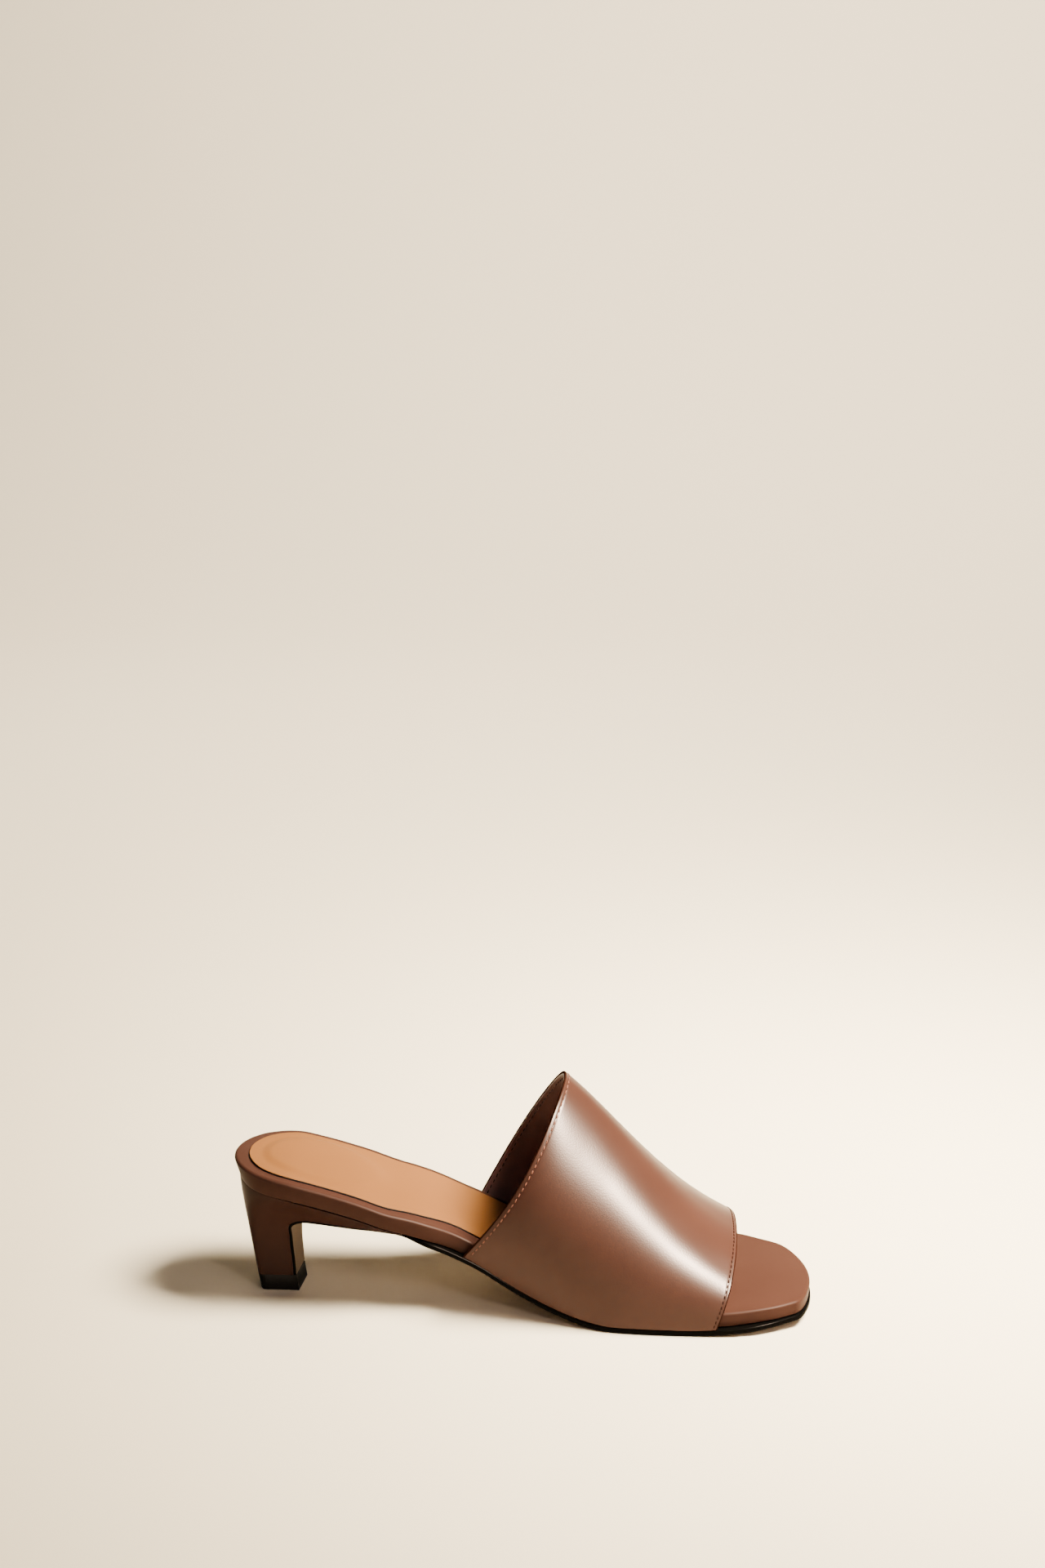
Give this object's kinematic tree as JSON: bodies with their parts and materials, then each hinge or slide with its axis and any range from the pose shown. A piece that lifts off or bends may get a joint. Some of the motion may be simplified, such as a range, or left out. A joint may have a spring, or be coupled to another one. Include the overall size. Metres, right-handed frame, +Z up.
{
  "type": "heeled shoe",
  "caption": "Open-toe heeled mule for the left foot: one-piece hollow vamp, wrapped footbed with a tan sock, thin sole and a low set-back heel with a top lift.",
  "frame": {"origin": "middle of the whole shoe's footprint, on the floor it stands on", "axes": "+X from the heel to the toe, +Y to the outer side of the foot, +Z up"},
  "size_m": [0.2396, 0.0774, 0.098],
  "materials": {
    "outsole": "black inked edge, satin",
    "footbed": "brown wrapped leather, satin",
    "sock": "tan smooth leather, dull",
    "upper": "brown glossy calf leather",
    "heel": "dark brown wrapped leather, satin",
    "top_lift": "black, satin"
  },
  "bodies": {
    "root": {"outsole": "outsole", "footbed": "footbed", "sock": "sock", "upper": "upper", "heel": "heel", "top_lift": "top_lift"}
  },
  "joints": []
}
